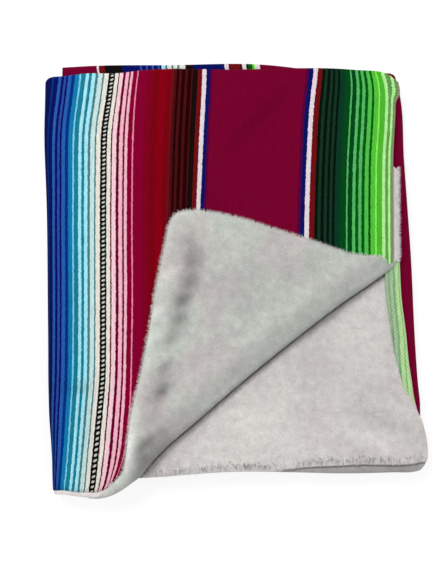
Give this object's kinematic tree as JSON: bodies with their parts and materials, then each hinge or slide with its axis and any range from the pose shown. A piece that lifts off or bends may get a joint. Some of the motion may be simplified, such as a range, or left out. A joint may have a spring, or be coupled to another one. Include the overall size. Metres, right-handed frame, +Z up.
{
  "type": "folded mexican serape blanket with a plush lining",
  "caption": "Serape blanket of woven striped cloth lined with white plush, folded flat, with a corner of its top layer turned back to show the lining.",
  "frame": {"origin": "middle of the underside, on the surface that the folded blanket lies on", "axes": "+Z up, +Y along the stripes towards the back fold, +X across the stripes towards the right fold"},
  "size_m": [0.3511, 0.4115, 0.0323],
  "materials": {
    "serape_stack": "matte ribbed weave",
    "serape_second": "matte ribbed weave",
    "plush_second": "soft short pile",
    "serape_second_roll": "matte ribbed weave",
    "plush_top": "soft short pile",
    "serape_top": "matte ribbed weave",
    "serape_corner": "matte ribbed weave",
    "plush_corner": "soft short pile"
  },
  "bodies": {
    "root": {"hidden_layers": "serape_stack", "face_second": "serape_second", "lining_second": "plush_second", "face_second_roll": "serape_second_roll", "lining_top": "plush_top", "face_top": "serape_top", "face_corner": "serape_corner", "lining_corner": "plush_corner"}
  },
  "joints": []
}
